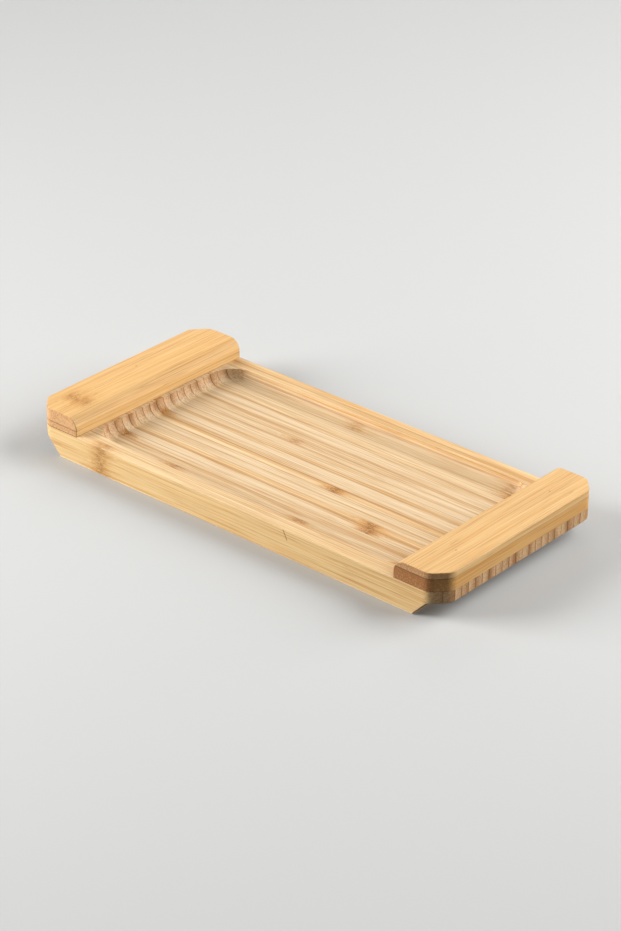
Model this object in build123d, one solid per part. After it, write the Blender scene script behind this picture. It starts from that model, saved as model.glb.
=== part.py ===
from build123d import *
import os

# Serving tray in laminated bamboo, in millimetres. The base is a board of upright strips glued
# edge to edge, with a shallow recess milled in its top and a finger grip cut under each end. A
# handle bar of two layers is glued across each end.
# Frame: origin at the middle of the resting face, X along the tray, Y across it, Z up.

LENGTH = 321.0
WIDTH = 150.0
BASE_HEIGHT = 18.5

# Upright strips of the base.
STRIP_COUNT = 24
STRIP_WIDTH = WIDTH / STRIP_COUNT

# Handle bars: a thin and a thick layer, thin side up on the right and thin side down on the left.
HANDLE_WIDTH = 35.0
HANDLE_HEIGHT = 12.3
HANDLE_INNER_ROUND = 8.0
THIN_LAYER = 4.1
TOP = BASE_HEIGHT + HANDLE_HEIGHT
HANDLE_INNER_X = LENGTH / 2 - HANDLE_WIDTH

# Cut corners of the outline, shared by the base and the handles.
CORNER_CUT_X = 9.5
CORNER_CUT_Y = 10.5
CORNER_ROUND = 8.5

# Finger grip: a groove straight across under each end, with a flat ceiling and a sloping back.
GRIP_HEIGHT = 10.9
GRIP_CEILING_DEPTH = 10.3
GRIP_FOOT_DEPTH = 20.6
GRIP_ROUND = 5.0

# Recess for what is served, with coved walls.
RECESS_RIM_GAP = 2.5
RECESS_HALF_LENGTH = HANDLE_INNER_X - RECESS_RIM_GAP
RECESS_HALF_WIDTH = 63.5
RECESS_DEPTH = 7.2
RECESS_COVE = 7.0
RECESS_CORNER = 16.0

# Sanded edges.
EDGE_EASE = 0.6
RIM_EASE = 0.3

TOLERANCE = 0.01


def mirrored_outline(quarter):
    """A closed face from the corner points of its +X +Y quarter, listed from +X towards +Y."""
    half = quarter + [(-x, y) for x, y in reversed(quarter)]
    return make_face(Polyline(*half, *[(-x, -y) for x, y in half], close=True))


def plan_outline():
    """The tray seen from above: a rectangle with cut and rounded corners."""
    end_corner = (LENGTH / 2, WIDTH / 2 - CORNER_CUT_Y)
    side_corner = (LENGTH / 2 - CORNER_CUT_X, WIDTH / 2)
    face = mirrored_outline([end_corner, side_corner])
    return fillet(face.vertices(), CORNER_ROUND)


def grips():
    """The cutters for the finger grips under both ends."""
    foot, ceiling = LENGTH / 2 - GRIP_FOOT_DEPTH, LENGTH / 2 - GRIP_CEILING_DEPTH
    corners = [(foot, 0), (ceiling, GRIP_HEIGHT), (LENGTH, GRIP_HEIGHT), (LENGTH, -1), (foot, -1)]
    face = make_face(Polyline(*corners, close=True))
    ceiling_corner = face.vertices().sort_by(Axis.Y)[-2:].sort_by(Axis.X)[0]
    groove = extrude(Plane.XZ * fillet(ceiling_corner, GRIP_ROUND), WIDTH, both=True)
    return groove + mirror(groove, Plane.YZ)


def recess():
    """The cutter for the recess: a rounded rectangle with a coved foot."""
    plan = RectangleRounded(2 * RECESS_HALF_LENGTH, 2 * RECESS_HALF_WIDTH, RECESS_CORNER)
    cutter = extrude(Pos(0, 0, BASE_HEIGHT - RECESS_DEPTH) * plan, TOP - BASE_HEIGHT)
    foot = cutter.edges().group_by(Axis.Z)[0]
    return fillet(foot, RECESS_COVE)


def lies_at(edge, axis, *places):
    """True where the whole edge lies at one of these distances along the axis, on either side of 0."""
    box = edge.bounding_box()
    low, high = abs(getattr(box.min, axis)), abs(getattr(box.max, axis))
    return any(abs(low - place) < TOLERANCE and abs(high - place) < TOLERANCE for place in places)


def long_edge_cutters():
    """What sanding takes off the base's long top edges, from handle to handle."""
    run, ease = 2 * HANDLE_INNER_X, EDGE_EASE
    corner = Pos(0, WIDTH / 2 - ease / 2, BASE_HEIGHT - ease / 2) * Box(run, ease, ease)
    kept = Pos(0, WIDTH / 2 - ease, BASE_HEIGHT - ease) * Rot(Y=90) * Cylinder(ease, 2 * run)
    cutter = corner - kept
    return cutter + mirror(cutter, Plane.XZ)


def base_board():
    """The glued board of the base, machined and sanded, before it is divided into its strips."""
    board = extrude(plan_outline(), BASE_HEIGHT) - grips()
    outer = []
    for edge in board.edges():
        box = edge.bounding_box()
        inside_grip = box.size.X < TOLERANCE and box.size.Z < TOLERANCE and not (
            lies_at(edge, "X", LENGTH / 2) or lies_at(edge, "Z", 0)
        )
        if box.max.Z < GRIP_HEIGHT + TOLERANCE and not inside_grip:
            outer.append(edge)
    board = fillet(outer, EDGE_EASE) - long_edge_cutters() - recess()
    rim = [
        edge for edge in board.edges()
        if lies_at(edge, "Z", BASE_HEIGHT) and abs(edge.center().X) < RECESS_HALF_LENGTH + TOLERANCE
        and abs(edge.center().Y) < RECESS_HALF_WIDTH + TOLERANCE
    ]
    return fillet(rim, RIM_EASE)


def right_handle():
    """The bar across the right end, with a rounded inner top edge, before it is divided."""
    end, seam = LENGTH / 2, HANDLE_INNER_X + HANDLE_INNER_ROUND
    corners = [(HANDLE_INNER_X, TOP), (end, TOP), (end, BASE_HEIGHT), (HANDLE_INNER_X, BASE_HEIGHT)]
    face = Plane.XZ * make_face(Polyline(*corners, close=True))
    inner_top = face.vertices().sort_by(Axis.X)[:2].sort_by(Axis.Z)[-1]
    bar = extrude(fillet(inner_top, HANDLE_INNER_ROUND), WIDTH, both=True) & extrude(plan_outline(), TOP)
    outer = []
    for edge in bar.edges():
        top = lies_at(edge, "Z", TOP) and not lies_at(edge, "X", seam)
        inner_side = lies_at(edge, "Y", WIDTH / 2) and edge.bounding_box().max.X < seam + TOLERANCE
        if top or inner_side and not lies_at(edge, "Z", BASE_HEIGHT):
            outer.append(edge)
    return fillet(outer, EDGE_EASE)


def cut_out(whole, y_range, z_range):
    """The part of a solid between two levels across the tray and two levels up it."""
    (front, rear), (low, high) = y_range, z_range
    return whole & Pos(0, (front + rear) / 2, (low + high) / 2) * Box(2 * LENGTH, rear - front, high - low)


def pieces():
    """The strips of the base and the layers of the handles, by name."""
    found = {}
    board = base_board()
    for number in range(STRIP_COUNT):
        front = -WIDTH / 2 + number * STRIP_WIDTH
        found[f"base_strip_{number + 1:02d}"] = cut_out(board, (front, front + STRIP_WIDTH), (-TOP, TOP))
    bar = right_handle()
    for side, whole, joint in (
        ("left", mirror(bar, Plane.YZ), BASE_HEIGHT + THIN_LAYER),
        ("right", bar, TOP - THIN_LAYER),
    ):
        found[f"{side}_handle_lower_layer"] = cut_out(whole, (-WIDTH, WIDTH), (-TOP, joint))
        found[f"{side}_handle_upper_layer"] = cut_out(whole, (-WIDTH, WIDTH), (joint, 2 * TOP))
    return found


os.makedirs("parts", exist_ok=True)
for name, piece in pieces().items():
    piece.label = name
    export_step(piece, f"parts/{name}.step")
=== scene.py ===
import math
from collections import namedtuple

import bpy
from mathutils import Matrix, Vector


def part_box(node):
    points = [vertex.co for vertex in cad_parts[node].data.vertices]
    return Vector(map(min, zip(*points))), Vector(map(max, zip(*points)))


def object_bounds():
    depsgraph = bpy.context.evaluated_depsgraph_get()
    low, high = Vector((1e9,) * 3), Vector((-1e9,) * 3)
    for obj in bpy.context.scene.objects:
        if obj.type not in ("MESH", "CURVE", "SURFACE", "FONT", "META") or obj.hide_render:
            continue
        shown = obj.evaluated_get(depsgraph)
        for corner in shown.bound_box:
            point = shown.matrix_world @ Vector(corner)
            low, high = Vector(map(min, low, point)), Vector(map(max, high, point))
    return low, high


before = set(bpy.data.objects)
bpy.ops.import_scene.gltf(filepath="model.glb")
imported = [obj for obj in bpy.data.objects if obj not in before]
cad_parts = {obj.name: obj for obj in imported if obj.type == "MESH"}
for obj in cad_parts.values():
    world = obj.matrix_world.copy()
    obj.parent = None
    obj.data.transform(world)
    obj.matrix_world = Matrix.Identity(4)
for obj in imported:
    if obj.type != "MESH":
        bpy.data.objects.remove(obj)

# Looks of the laminated bamboo serving tray. The shapes are the CAD nodes' own. Every node gets
# a solid bamboo material, laid out along the grain of its piece, so that a face along the grain
# shows streaks and a face across it shows the ends of the same fibres.

CAD_BOX = [list(corner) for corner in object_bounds()]

MM = 0.001
STRIP_COUNT = 24
BASE_FRONT = CAD_BOX[0][1] / MM
STRIP_WIDTH = (CAD_BOX[1][1] - CAD_BOX[0][1]) / MM / STRIP_COUNT

# Linear albedo of bamboo, pale and brown. Radial and tangent are the two kinds of face along the
# grain, cool and warm are two kinds of stock seen across the grain.
RADIAL = ((0.695, 0.535, 0.335), (0.505, 0.287, 0.104))
TANGENT = ((0.795, 0.550, 0.250), (0.620, 0.315, 0.086))
COOL_END = ((0.640, 0.425, 0.235), (0.340, 0.180, 0.075))
WARM_END = ((0.680, 0.400, 0.190), (0.310, 0.120, 0.036))
FIBRE = (0.360, 0.165, 0.055)
KNOT_HALO = (0.520, 0.230, 0.045)
KNOT_CORE = (0.210, 0.080, 0.015)
GLUE = (0.150, 0.070, 0.030)

# How far a knuckle's dark core and its stained halo reach along the grain, mm.
CORE_REACH = 5.0
HALO_REACH = 10.0

# Distances from the middle of a glue line or a mark at which it's clear and fully dark, mm.
GLUE_EDGES = (0.55, 0.1)
GLUE_DARKNESS = 0.7
MARK_EDGES = (0.5, 0.15)
MARK_DARKNESS = 0.75

# The finish: relief of the fibres (the distance in metres) and strength of the shine.
BUMP_STRENGTH = 0.35
BUMP_DISTANCE = 0.00025
BAMBOO_SPECULAR = 0.25

# How far the pattern is moved along and through a piece for each unit of its shift, mm.
SHIFT_ALONG = 90
SHIFT_THROUGH = 13

# Where a knuckle is put that a piece doesn't have, mm.
FAR_AWAY = 10000.0


# ---------------------------------------------------------------- shader helpers

class Graph:
    """Adds nodes to a shader tree. A value may be a number, a tuple or another node's output."""

    def __init__(self, tree):
        self.tree = tree

    def node(self, kind, values=None, **settings):
        made = self.tree.nodes.new(kind)
        for name, value in settings.items():
            setattr(made, name, value)
        for key, value in (values or {}).items():
            self.put(made.inputs[key], value)
        return made

    def put(self, socket, value):
        if isinstance(value, bpy.types.NodeSocket):
            self.tree.links.new(value, socket)
        else:
            socket.default_value = value

    def math(self, operation, *values):
        return self.node("ShaderNodeMath", dict(enumerate(values)), operation=operation).outputs[0]

    def vector(self, operation, *values):
        values = dict(enumerate(values))
        return self.node("ShaderNodeVectorMath", values, operation=operation).outputs[0]

    def add(self, *values):
        total = values[0]
        for value in values[1:]:
            total = self.math("ADD", total, value)
        return total

    def times(self, *values):
        total = values[0]
        for value in values[1:]:
            total = self.math("MULTIPLY", total, value)
        return total

    def minus(self, a, b):
        return self.math("SUBTRACT", a, b)

    def size(self, value):
        return self.math("ABSOLUTE", value)

    def most(self, a, b):
        return self.math("MAXIMUM", a, b)

    def clamp(self, value):
        """The value, held between 0 and 1."""
        return self.node("ShaderNodeClamp", {0: value}).outputs[0]

    def swing(self, noise, strength):
        """Noise as a value that swings evenly about 0."""
        return self.times(self.minus(noise, 0.5), strength)

    def smooth(self, value, low, high, out_low=0.0, out_high=1.0):
        """A smooth step from out_low to out_high as value goes from low to high."""
        values = {0: value, 1: low, 2: high, 3: out_low, 4: out_high}
        return self.node("ShaderNodeMapRange", values, interpolation_type="SMOOTHSTEP").outputs[0]

    def split(self, vector):
        return self.node("ShaderNodeSeparateXYZ", {0: vector}).outputs

    def join(self, x, y, z):
        return self.node("ShaderNodeCombineXYZ", {0: x, 1: y, 2: z}).outputs[0]

    def mix(self, factor, a, b):
        """A colour between a and b, each an output or a tuple of red, green and blue."""
        made = self.node("ShaderNodeMix", {0: factor}, data_type="RGBA")
        for key, value in ((6, a), (7, b)):
            is_output = isinstance(value, bpy.types.NodeSocket)
            self.put(made.inputs[key], value if is_output else (*value, 1.0))
        return made.outputs[2]

    def noise(self, position, along, across, detail=2.0, roughness=0.5, shift=0.0):
        """Noise in grains that are long along x and thin across it, sizes in the position's unit."""
        scaled = self.vector("MULTIPLY", position, (1 / along, 1 / across, 1 / across))
        moved = self.vector("ADD", scaled, (shift, shift * 1.7, shift * 2.3))
        values = {"Vector": moved, "Scale": 1.0, "Detail": detail, "Roughness": roughness}
        return self.node("ShaderNodeTexNoise", values).outputs[0]

    def bundles(self, position, along, across, shift=0.0):
        """Distance to the nearest fibre bundle, in bundle widths."""
        scaled = self.vector("MULTIPLY", position, (1 / along, 1 / across, 1 / across))
        moved = self.vector("ADD", scaled, (shift, shift, shift))
        values = {"Vector": moved, "Scale": 1.0, "Randomness": 0.9}
        return self.node("ShaderNodeTexVoronoi", values).outputs["Distance"]


# ---------------------------------------------------------------- bamboo

BAMBOO_INPUTS = (
    ("Position", "NodeSocketVector"),     # mm, x along the grain, y through the layer, z across it
    ("Normal", "NodeSocketVector"),       # in the same axes
    ("Depth", "NodeSocketFloat"),         # 0 at the layer's pale side, 1 at its skin side
    ("Tone", "NodeSocketFloat"),          # 0 pale, 1 brown
    ("Warmth", "NodeSocketFloat"),        # 0 cream, 1 honey, on the faces along the layer's edge
    ("Face Warmth", "NodeSocketFloat"),   # the same on the faces along the layer's flat side
    ("Streaks", "NodeSocketFloat"),       # contrast of the streaks
    ("Gradient", "NodeSocketFloat"),      # how much browner the skin side is
    ("End Shade", "NodeSocketFloat"),     # 0 pale, 1 dark, across the grain only
    ("Knot A", "NodeSocketFloat"),        # places of two knuckles along the grain, mm
    ("Knot B", "NodeSocketFloat"),
    ("Knot Reach", "NodeSocketFloat"),    # how clearly a knuckle shows, 0 to 1
    ("Glue", "NodeSocketFloat"),          # darkness of a glue line or mark, 0 away from it
)
BAMBOO_OUTPUTS = (
    ("Color", "NodeSocketColor"),
    ("Roughness", "NodeSocketFloat"),
    ("Height", "NodeSocketFloat"),
)


def knot_masks(g, given):
    """How far each point belongs to a knuckle of the culm: to its core, and to its halo."""
    raw = given["Position"]
    wander = g.swing(g.noise(raw, 12.0, 3.0, shift=3.1), 6.0)
    brush = g.swing(g.noise(raw, 40.0, 0.6, shift=7.7), 12.0)
    ragged = g.add(wander, brush)
    masks = []
    for reach in (CORE_REACH, HALO_REACH):
        found = []
        for knot in ("Knot A", "Knot B"):
            off = g.add(g.minus(g.split(raw)[0], given[knot]), ragged)
            found.append(g.math("EXPONENT", g.times(off, off, -1 / reach ** 2)))
        masks.append(g.times(g.most(*found), given["Knot Reach"]))
    return masks


def bent(g, raw, halo):
    """The position along fibres that wander a little, and curl at the knuckles."""
    sway = g.swing(g.noise(raw, 85.0, 7.0, shift=1.3), 1.6)
    curl = g.times(g.swing(g.noise(raw, 4.0, 2.6, shift=8.7), 4.0), halo)
    bend = g.add(sway, curl)
    return g.vector("ADD", raw, g.join(0.0, bend, bend))


Grain = namedtuple("Grain", "broad medium fine vein dots small_dots dashes")


def grain_patterns(g, position):
    """Streaks of three widths, thin veins, and fibre bundles of three sizes."""
    vein = g.size(g.swing(g.noise(position, 120.0, 1.7, detail=1.0, shift=12.0), 1.0))
    vein_places = g.smooth(g.noise(position, 60.0, 5.0, shift=15.0), 0.42, 0.62)
    return Grain(
        broad=g.noise(position, 150.0, 2.4, shift=2.0),
        medium=g.noise(position, 90.0, 0.95, detail=3.0, roughness=0.65, shift=5.0),
        fine=g.noise(position, 40.0, 0.5, roughness=0.6, shift=9.0),
        vein=g.times(g.smooth(vein, 0.04, 0.0), vein_places),
        dots=g.smooth(g.bundles(position, 110.0, 0.9), 0.42, 0.14),
        small_dots=g.smooth(g.bundles(position, 60.0, 0.45, shift=4.0), 0.45, 0.15),
        dashes=g.smooth(g.bundles(position, 70.0, 4.5, shift=2.0), 0.085, 0.05),
    )


def long_grain_colour(g, given, grain, skin, flat):
    """Colour of a face along the grain: cream to brown, with streaks and threads."""
    streaks = g.add(g.swing(grain.broad, 1.2), g.swing(grain.medium, 3.4))
    tone = g.clamp(g.add(given["Tone"], g.times(given["Streaks"], streaks), skin))
    warmth = g.most(flat, given["Warmth"])
    colour = g.mix(warmth, g.mix(tone, *RADIAL), g.mix(tone, *TANGENT))
    threads = g.add(g.times(grain.dots, 0.75), g.times(grain.small_dots, 0.5))
    threads = g.times(threads, g.add(0.2, g.times(tone, 0.35)))
    threads = g.add(threads, g.times(grain.vein, 0.3), g.times(grain.dashes, 0.4))
    return g.mix(threads, colour, FIBRE)


def end_grain_colour(g, given, grain, skin):
    """Colour of a face across the grain: the same fibre bundles, as dots."""
    shade = g.clamp(g.add(given["End Shade"], g.times(skin, 1.7), g.swing(grain.medium, 2.2)))
    colour = g.mix(given["Warmth"], g.mix(shade, *COOL_END), g.mix(shade, *WARM_END))
    specks = g.add(grain.dots, g.times(grain.small_dots, 0.6))
    return g.mix(g.times(specks, g.add(0.35, g.times(shade, 0.4))), colour, FIBRE)


def knot_colour(g, colour, position, core, halo, across):
    """The colour with knuckles over it: a golden stain, and dark ticks in its middle."""
    stained = g.noise(position, 14.0, 1.6, detail=3.0, roughness=0.7, shift=6.0)
    ticks = g.noise(position, 4.5, 0.55, roughness=0.7, shift=16.0)
    stain = g.add(0.25, g.times(g.smooth(stained, 0.3, 0.55), 0.65))
    dark = g.add(0.1, g.times(g.smooth(ticks, 0.43, 0.57), 0.8))
    along_grain = g.minus(1.0, g.times(across, 0.8))
    colour = g.mix(g.times(halo, stain, along_grain), colour, KNOT_HALO)
    return g.mix(g.times(core, dark, along_grain), colour, KNOT_CORE)


def bamboo_group():
    """Solid bamboo: colour, roughness and height from a position and a normal in grain axes."""
    tree = bpy.data.node_groups.new("bamboo", "ShaderNodeTree")
    for in_out, sockets in (("INPUT", BAMBOO_INPUTS), ("OUTPUT", BAMBOO_OUTPUTS)):
        for name, kind in sockets:
            tree.interface.new_socket(name, in_out=in_out, socket_type=kind)
    g = Graph(tree)
    given = g.node("NodeGroupInput").outputs
    core, halo = knot_masks(g, given)
    position = bent(g, given["Position"], halo)
    grain = grain_patterns(g, position)

    normal = [g.size(part) for part in g.split(given["Normal"])]
    across = g.smooth(normal[0], 0.3, 0.95)
    flat = g.times(g.smooth(normal[1], 0.6, 1.0), given["Face Warmth"])
    skin = g.times(given["Gradient"], g.minus(g.math("POWER", given["Depth"], 1.8), 0.35))

    long_grain = long_grain_colour(g, given, grain, skin, flat)
    colour = g.mix(across, long_grain, end_grain_colour(g, given, grain, skin))
    colour = g.mix(g.smooth(grain.fine, 0.38, 0.70, 0.0, 0.26), colour, FIBRE)
    colour = knot_colour(g, colour, position, core, halo, across)
    colour = g.mix(given["Glue"], colour, GLUE)

    rough_ends = g.times(across, 0.14)
    roughness = g.add(0.48, g.times(grain.fine, 0.12), rough_ends, g.times(grain.dots, 0.06))
    hollows = g.add(g.times(grain.dots, 0.35), g.times(given["Glue"], 0.8))
    height = g.add(g.minus(g.times(grain.fine, 0.6), hollows), g.times(core, grain.medium, 1.2))
    out = g.node("NodeGroupOutput").inputs
    g.put(out["Color"], colour)
    g.put(out["Roughness"], roughness)
    g.put(out["Height"], height)
    return tree


def mark(g, along, beside, start, end):
    """A mask for a short dark mark from start to end, each (along, across) the piece in mm."""
    (u, v), (du, dv) = start, (end[0] - start[0], end[1] - start[1])
    from_u, from_v = g.minus(along, u), g.minus(beside, v)
    length = du ** 2 + dv ** 2
    share = g.clamp(g.add(g.times(from_u, du / length), g.times(from_v, dv / length)))
    off_u, off_v = g.minus(from_u, g.times(share, du)), g.minus(from_v, g.times(share, dv))
    distance = g.math("SQRT", g.add(g.times(off_u, off_u), g.times(off_v, off_v)))
    return g.smooth(distance, *MARK_EDGES, 0.0, MARK_DARKNESS)


def glue_lines(g, place, layer, glue, facing, shift):
    """A mask for the glue lines at a layer's low and high side, patchy along the grain."""
    low, high = sorted(layer)
    line_low = g.smooth(g.minus(place[1], low), *GLUE_EDGES, 0.0, glue[0] * GLUE_DARKNESS)
    line_high = g.smooth(g.minus(high, place[1]), *GLUE_EDGES, 0.0, glue[1] * GLUE_DARKNESS)
    patchy = g.smooth(g.noise(g.join(*place), 40.0, 9.0, shift=shift), 0.35, 0.6, 0.3, 1.0)
    across = g.smooth(g.size(facing), 0.3, 0.9)
    return g.times(g.most(line_low, line_high), g.add(patchy, g.times(across, 1.4)))


BAMBOO = bamboo_group()


def bamboo(name, axes, layer, tone, drift=0.0, warmth=0.0, face_warmth=0.2, streaks=1.0, gradient=0.3,
           end_shade=0.5, knots=(), knot_strength=1.0, knot_span=None, marks=(), glue=(0.5, 0.5),
           shift=0.0):
    """A bamboo material for one piece.

    axes: which object axes (0, 1, 2) run along the grain, through the layer and across it.
    layer: (pale side, skin side) of the piece through the layer, mm.
    tone, warmth, face_warmth, streaks, gradient, end_shade: see BAMBOO_INPUTS.
    drift: how much browner it gets in 100 mm along the grain.
    knots: places of up to two knuckles along the grain, mm.
    knot_strength: how clearly the knuckles show.
    knot_span: the part across the piece that knuckles show in, mm.
    marks: (start, end) of short dark marks, each point (along, across) the piece, mm.
    glue: darkness of the glue line at the layer's low and high side; under the left handle it is also
    painted shade in the seam on the base.
    shift: moves the pattern, so that no two pieces are alike.
    """
    material = bpy.data.materials.new(name)
    material.use_nodes = True
    tree = material.node_tree
    g = Graph(tree)
    source = g.node("ShaderNodeTexCoord").outputs
    object_mm = g.vector("DIVIDE", source["Object"], (MM, MM, MM))
    place = [g.split(object_mm)[axis] for axis in axes]
    along, through, beside = place
    facing = g.split(source["Normal"])
    depth = g.node("ShaderNodeMapRange", {0: through, 1: layer[0], 2: layer[1]}).outputs[0]

    dark_lines = glue_lines(g, place, layer, glue, facing[axes[0]], shift)
    for start, end in marks:
        dark_lines = g.most(dark_lines, mark(g, along, beside, start, end))

    reach = knot_strength
    if knot_span:
        middle, half = sum(knot_span) / 2, abs(knot_span[1] - knot_span[0]) / 2
        off = g.size(g.minus(beside, middle))
        reach = g.smooth(off, half + 2, half - 2, 0.0, knot_strength)
    spots = list(knots) + [FAR_AWAY] * (2 - len(knots))

    shift_along, shift_through = shift * SHIFT_ALONG, shift * SHIFT_THROUGH
    values = {
        "Position": g.join(g.add(along, shift_along), g.add(through, shift_through), beside),
        "Normal": g.join(*(facing[axis] for axis in axes)),
        "Depth": depth,
        "Tone": g.add(tone, g.times(along, drift / 100)),
        "Warmth": warmth,
        "Face Warmth": face_warmth,
        "Streaks": streaks,
        "Gradient": gradient,
        "End Shade": end_shade,
        "Knot A": spots[0] + shift_along,
        "Knot B": spots[1] + shift_along,
        "Knot Reach": reach,
        "Glue": dark_lines,
    }
    made = g.node("ShaderNodeGroup", node_tree=BAMBOO)
    for key, value in values.items():
        g.put(made.inputs[key], value)
    relief = {"Strength": BUMP_STRENGTH, "Distance": BUMP_DISTANCE, "Height": made.outputs["Height"]}
    bump = g.node("ShaderNodeBump", relief)
    shader = tree.nodes["Principled BSDF"]
    tree.links.new(made.outputs["Color"], shader.inputs["Base Color"])
    tree.links.new(made.outputs["Roughness"], shader.inputs["Roughness"])
    tree.links.new(bump.outputs[0], shader.inputs["Normal"])
    shader.inputs["Specular IOR Level"].default_value = BAMBOO_SPECULAR
    return material


def paint(node, material):
    """Put one material on every slot of a CAD node."""
    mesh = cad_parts[node].data
    if not mesh.materials:
        mesh.materials.append(material)
    for slot in range(len(mesh.materials)):
        mesh.materials[slot] = material


# ---------------------------------------------------------------- the strips of the base

HAIRLINE_CRACK = ((43.1, 17.6), (46.0, 12.0))
RIM_MARK = ((107.5, 18.3), (109.0, 14.8))

# A gradient below 0 puts the skin side in front. The glue line is the one at the strip's rear.
Strip = namedtuple(
    "Strip",
    "tone drift warmth gradient end_shade glue knots knot_strength marks",
    defaults=((), 1.0, ()),
)

STRIPS = (
    Strip(0.20, 0.06, 0.40, 0.25, 0.45, 0.35, (-105,), 0.65, (HAIRLINE_CRACK,)),
    # Strips 2 to 4 are paler, partly their own colour and partly painted light that lifts the shadow
    # the front rim casts on the floor.
    Strip(0.34, 0.02, 0.30, 0.30, 0.55, 0.45),
    Strip(0.28, 0.00, 0.15, 0.35, 0.35, 0.50, (120,)),
    Strip(0.26, -0.04, 0.10, 0.45, 0.60, 0.40, (35, -65), 0.75),
    Strip(0.36, -0.05, 0.00, 0.50, 0.40, 0.45),
    Strip(0.30, 0.08, 0.00, -0.50, 0.65, 0.60, (-117,)),
    Strip(0.22, 0.06, 0.00, 0.60, 0.30, 0.75, (74,)),
    Strip(0.46, 0.12, 0.30, -0.95, 0.75, 0.50, (70,)),
    Strip(0.22, 0.00, 0.00, 0.40, 0.35, 0.40),
    Strip(0.18, 0.06, 0.00, 0.45, 0.45, 0.60),
    Strip(0.42, 0.10, 0.30, 0.90, 0.75, 0.80, (27,)),
    Strip(0.32, -0.06, 0.00, -0.50, 0.55, 0.40, (-121,)),
    Strip(0.20, 0.05, 0.00, 0.40, 0.30, 0.50),
    Strip(0.36, 0.04, 0.10, -0.75, 0.60, 0.50),
    Strip(0.24, 0.00, 0.00, 0.40, 0.40, 0.40),
    Strip(0.24, 0.00, 0.00, 0.45, 0.35, 0.50, (-31,), 0.5),
    Strip(0.38, 0.02, 0.00, 0.50, 0.65, 0.55),
    Strip(0.22, -0.06, 0.00, -0.40, 0.35, 0.40),
    Strip(0.20, 0.14, 0.00, 0.70, 0.50, 0.80),
    # Strips 20 to 22 are paler and less graded, partly their own colour and partly painted light that
    # lifts the shadow the rear rim casts on the floor.
    Strip(0.22, -0.12, 0.20, -0.45, 0.75, 0.45),
    Strip(0.12, 0.08, 0.10, 0.40, 0.40, 0.50, (113,)),
    Strip(0.08, -0.02, 0.10, 0.30, 0.35, 0.35, (-14, 107), 0.45, (RIM_MARK,)),
    Strip(0.48, 0.02, 0.40, 0.25, 0.65, 0.45),
    Strip(0.42, -0.08, 0.65, -0.30, 0.45, 0.00),
)

OUTER_FACE_WARMTH = 0.85
INNER_FACE_WARMTH = 0.15


def paint_base():
    glue_before = 0.0
    for number, strip in enumerate(STRIPS, start=1):
        front = BASE_FRONT + (number - 1) * STRIP_WIDTH
        rear = front + STRIP_WIDTH
        outer = number in (1, STRIP_COUNT)
        material = bamboo(
            f"bamboo_strip_{number:02d}", axes=(0, 1, 2),
            layer=(front, rear) if strip.gradient > 0 else (rear, front),
            tone=strip.tone, drift=strip.drift, warmth=strip.warmth,
            face_warmth=OUTER_FACE_WARMTH if outer else INNER_FACE_WARMTH,
            gradient=abs(strip.gradient), end_shade=strip.end_shade,
            knots=strip.knots, knot_strength=strip.knot_strength, marks=strip.marks,
            glue=(glue_before, strip.glue), shift=number * 1.37,
        )
        paint(f"base_strip_{number:02d}", material)
        glue_before = strip.glue


# ---------------------------------------------------------------- the layers of the handles

SPECK_LENGTH = 0.6


def speck(along, across):
    """A mark that is hardly longer than it is wide."""
    return (along - SPECK_LENGTH / 2, across), (along + SPECK_LENGTH / 2, across)


Layer = namedtuple("Layer", "tone warmth end_shade glue knots knot_span marks", defaults=((), None, ()))

HANDLE_LAYERS = {
    # Its glue line on the base is fully dark: partly a real glue line, partly painted shade in the seam
    # under the handle.
    "left_handle_lower_layer": Layer(0.40, 1.0, 0.20, (1.0, 0.5)),
    "left_handle_upper_layer": Layer(
        0.48, 1.0, 0.12, (0.3, 0.0), (-54,), (-153, -134), (speck(2.9, -149.0),),
    ),
    "right_handle_lower_layer": Layer(0.75, 1.0, 0.95, (0.4, 0.6)),
    "right_handle_upper_layer": Layer(
        0.46, 0.8, 0.50, (0.5, 0.0), marks=(speck(47.0, 144.0), speck(-44.0, 146.0)),
    ),
}


def paint_handles():
    for number, (node, layer) in enumerate(HANDLE_LAYERS.items(), start=1):
        low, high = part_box(node)
        material = bamboo(
            f"bamboo_{node}", axes=(1, 2, 0), layer=(low.z / MM, high.z / MM),
            tone=layer.tone, warmth=layer.warmth, streaks=0.4, gradient=0.15, end_shade=layer.end_shade,
            knots=layer.knots, knot_strength=0.65, knot_span=layer.knot_span, marks=layer.marks,
            glue=layer.glue, shift=50 + number * 3.19,
        )
        paint(node, material)


# ---------------------------------------------------------------- floor, light and camera

# Metres: half the floor's side, its gap below the tray, and how near to it counts as standing on it.
FLOOR_HALF = 12.0
FLOOR_GAP = 0.0002
CONTACT = 0.0015

# Azimuth (0 in front, 90 to the right) and elevation in degrees, size in metres, power in watts.
LIGHTS = {
    "front_left_light": (-47, 22, 0.9, 44),
    "rear_right_light": (137, 32, 1.5, 46),
    "rear_left_light": (-140, 30, 0.9, 5),
    "light_from_below": (-47, -60, 0.9, 20),
}
LIGHT_DISTANCE = 1.6

# The camera: a long lens in front, to the right and a little above. Degrees, metres, and mm of lens.
CAMERA_AZIMUTH = 40.39
CAMERA_ELEVATION = 28.47
CAMERA_ROLL = 0.82
CAMERA_DISTANCE = 1.8162
CAMERA_TARGET = Vector((0.0003, -0.0010, 0.0150))
SENSOR_WIDTH = 36.0
LENS = 115.85


def direction(azimuth, elevation):
    """The unit vector from the tray towards an azimuth and an elevation in degrees."""
    a, e = math.radians(azimuth), math.radians(elevation)
    return Vector((math.sin(a) * math.cos(e), -math.cos(a) * math.cos(e), math.sin(e)))


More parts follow.
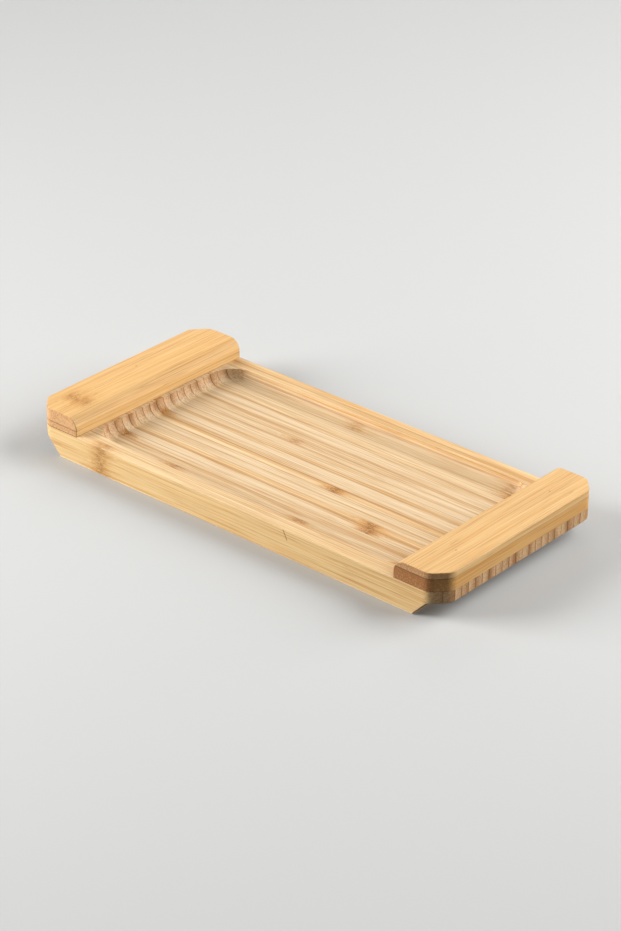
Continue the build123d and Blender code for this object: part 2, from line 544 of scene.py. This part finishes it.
def floor_material():
    """Pale to the camera, and dull to other light, so that it throws little back at the tray.

    It is clear from below, and for light on its way to a face that stands on it, so that the
    underside of the tray can be seen.
    """
    material = bpy.data.materials.new("pale_floor")
    material.use_nodes = True
    g = Graph(material.node_tree)
    seen = material.node_tree.nodes["Principled BSDF"]
    seen.inputs["Base Color"].default_value = (0.52, 0.52, 0.51, 1.0)
    seen.inputs["Roughness"].default_value = 0.9
    seen.inputs["Specular IOR Level"].default_value = 0.1
    dull = g.node("ShaderNodeBsdfDiffuse", {"Color": (0.16, 0.16, 0.16, 1.0)}).outputs[0]
    clear = g.node("ShaderNodeBsdfTransparent").outputs[0]
    ray = g.node("ShaderNodeLightPath").outputs
    to_camera = ray["Is Camera Ray"]
    above = g.node("ShaderNodeMixShader", {0: to_camera, 1: dull, 2: seen.outputs[0]}).outputs[0]
    touching = g.times(g.math("LESS_THAN", ray["Ray Length"], CONTACT), g.minus(1.0, to_camera))
    open_here = g.most(touching, g.node("ShaderNodeNewGeometry").outputs["Backfacing"])
    surface = g.node("ShaderNodeMixShader", {0: open_here, 1: above, 2: clear}).outputs[0]
    g.put(material.node_tree.nodes["Material Output"].inputs["Surface"], surface)
    return material


def floor():
    signs = ((-1, -1), (1, -1), (1, 1), (-1, 1))
    corners = [(x * FLOOR_HALF, y * FLOOR_HALF, -FLOOR_GAP) for x, y in signs]
    mesh = bpy.data.meshes.new("floor")
    mesh.from_pydata(corners, [], [(0, 1, 2, 3)])
    mesh.materials.append(floor_material())
    plane = bpy.data.objects.new("floor", mesh)
    bpy.context.scene.collection.objects.link(plane)


def lights():
    """Square soft lights aimed at the tray, and a faint light from all around."""
    for name, (azimuth, elevation, size, power) in LIGHTS.items():
        back = direction(azimuth, elevation)
        light = bpy.data.lights.new(name, "AREA")
        light.size = size
        light.energy = power
        lamp = bpy.data.objects.new(name, light)
        lamp.location = back * LIGHT_DISTANCE
        lamp.rotation_mode = "QUATERNION"
        lamp.rotation_quaternion = back.to_track_quat("Z", "Y")
        bpy.context.scene.collection.objects.link(lamp)
    world = bpy.data.worlds.new("studio")
    world.use_nodes = True
    background = world.node_tree.nodes["Background"]
    background.inputs["Color"].default_value = (0.95, 0.97, 1.0, 1.0)
    background.inputs["Strength"].default_value = 0.06
    bpy.context.scene.world = world
    bpy.context.scene.view_settings.view_transform = "Standard"


def camera():
    back = direction(CAMERA_AZIMUTH, CAMERA_ELEVATION)
    right = Vector((0, 0, 1)).cross(back).normalized()
    up = back.cross(right)
    roll = math.radians(CAMERA_ROLL)
    rolled_right = right * math.cos(roll) + up * math.sin(roll)
    rolled_up = up * math.cos(roll) - right * math.sin(roll)
    turn = Matrix((rolled_right, rolled_up, back)).transposed()
    data = bpy.data.cameras.new("camera")
    data.sensor_width = SENSOR_WIDTH
    data.lens = LENS
    view = bpy.data.objects.new("camera", data)
    view.matrix_world = Matrix.Translation(CAMERA_TARGET + back * CAMERA_DISTANCE) @ turn.to_4x4()
    bpy.context.scene.collection.objects.link(view)
    bpy.context.scene.camera = view


paint_base()
paint_handles()
floor()
lights()
camera()
